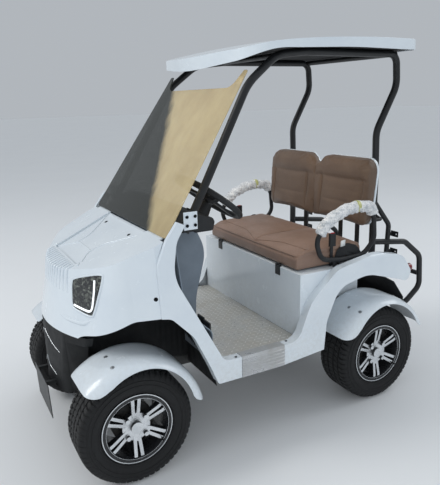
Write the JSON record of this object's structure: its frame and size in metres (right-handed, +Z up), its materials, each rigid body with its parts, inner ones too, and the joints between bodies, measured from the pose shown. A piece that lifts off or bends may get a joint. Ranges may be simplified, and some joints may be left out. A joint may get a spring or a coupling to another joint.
{
  "type": "golf cart",
  "caption": "Small open electric cart with a bench for two, a roof on a tube frame, a windshield, a folding front bench lid and a rear guard.",
  "frame": {"origin": "on the floor, in the middle of the cart's length and width", "axes": "+Z up, the cart faces -Y, its left side is +X"},
  "size_m": [1.042, 1.915, 1.6927],
  "materials": {
    "tyre_rubber": "moulded rubber",
    "wheel_alloy": "cast, machined faces, black pockets",
    "black_steel": "satin powder coat",
    "white_body": "gloss, moulded in colour",
    "black_plastic": "fine grain",
    "grey_plastic": "fine grain",
    "brown_vinyl": "coated fabric, soft sheen",
    "lamp_lens": "dark reflector behind a clear lens",
    "red_lens": "clear moulded",
    "smoked_acrylic": "tinted clear sheet",
    "bright_aluminium": "rolled, tread pattern",
    "battery_case": "moulded",
    "foam_wrap": "translucent packing foam",
    "bare_plate": "satin black, blank"
  },
  "bodies": {
    "chassis": {"armrest_wraps": "foam_wrap", "armrests": "black_plastic", "back_frame": "black_steel", "back_shells": "white_body", "battery_pack": "battery_case", "belt_buckles": "black_plastic", "chassis_frame": "black_steel", "dashboard": "black_plastic", "floor_plate": "bright_aluminium", "front_axle": "black_steel", "front_body": "white_body", "front_bumper": "black_plastic", "front_plate": "bare_plate", "headlights": "lamp_lens", "leg_shield": "grey_plastic", "pedals": "black_plastic", "pillar_brackets": "black_steel", "quarter_panel_left": "white_body", "quarter_panel_right": "white_body", "rear_axle": "black_steel", "rear_fender_left": "white_body", "rear_fender_right": "white_body", "rear_guard": "black_steel", "roof_frame": "black_steel", "roof_liner": "grey_plastic", "roof_shell": "white_body", "seat_backs": "brown_vinyl", "seat_base": "white_body", "seat_hinges": "black_steel", "side_cowl_left": "white_body", "side_cowl_right": "white_body", "steering_column": "black_plastic", "step_trims": "bright_aluminium", "tail_lamps": "red_lens", "tail_panel": "black_plastic", "windshield": "smoked_acrylic"},
    "seat": {"seat_cushion": "brown_vinyl", "seat_pan": "black_plastic"},
    "steering_wheel": {"steering_wheel": "black_plastic"},
    "knuckle_left": {"knuckle_left": "black_steel", "front_fender_left": "white_body"},
    "knuckle_right": {"knuckle_right": "black_steel", "front_fender_right": "white_body"},
    "wheel_front_left": {"tyre_front_left": "tyre_rubber", "wheel_front_left": "wheel_alloy"},
    "wheel_front_right": {"tyre_front_right": "tyre_rubber", "wheel_front_right": "wheel_alloy"},
    "wheel_rear_left": {"tyre_rear_left": "tyre_rubber", "wheel_rear_left": "wheel_alloy"},
    "wheel_rear_right": {"tyre_rear_right": "tyre_rubber", "wheel_rear_right": "wheel_alloy"}
  },
  "joints": [
    {"name": "steer_left", "type": "hinge", "parent": "chassis", "child": "knuckle_left", "pos_m": [0.258, -0.7025, 0.2295], "axis": [0, 0, 1], "range_deg": [-25, 25]},
    {"name": "steer_right", "type": "hinge", "parent": "chassis", "child": "knuckle_right", "pos_m": [-0.258, -0.7025, 0.2295], "axis": [0, 0, 1], "range_deg": [-25, 25]},
    {"name": "steering_wheel_turn", "type": "hinge", "parent": "chassis", "child": "steering_wheel", "pos_m": [0.2, -0.2305, 1.032], "axis": [0, 0.6018, 0.7986], "range_deg": [-300, 300]},
    {"name": "seat_lift", "type": "hinge", "parent": "chassis", "child": "seat", "pos_m": [0, 0.0815, 0.7], "axis": [1, 0, 0], "range_deg": [0, 75]},
    {"name": "roll_front_left", "type": "hinge", "parent": "knuckle_left", "child": "wheel_front_left", "pos_m": [0.392, -0.7025, 0.2295], "axis": [1, 0, 0], "continuous": true},
    {"name": "roll_front_right", "type": "hinge", "parent": "knuckle_right", "child": "wheel_front_right", "pos_m": [-0.392, -0.7025, 0.2295], "axis": [1, 0, 0], "continuous": true},
    {"name": "roll_rear_left", "type": "hinge", "parent": "chassis", "child": "wheel_rear_left", "pos_m": [0.392, 0.5255, 0.2295], "axis": [1, 0, 0], "continuous": true},
    {"name": "roll_rear_right", "type": "hinge", "parent": "chassis", "child": "wheel_rear_right", "pos_m": [-0.392, 0.5255, 0.2295], "axis": [1, 0, 0], "continuous": true}
  ],
  "couplings": [
    {"joint": "steer_right", "follows": "steer_left", "ratio": 1},
    {"joint": "steering_wheel_turn", "follows": "steer_left", "ratio": 12}
  ]
}
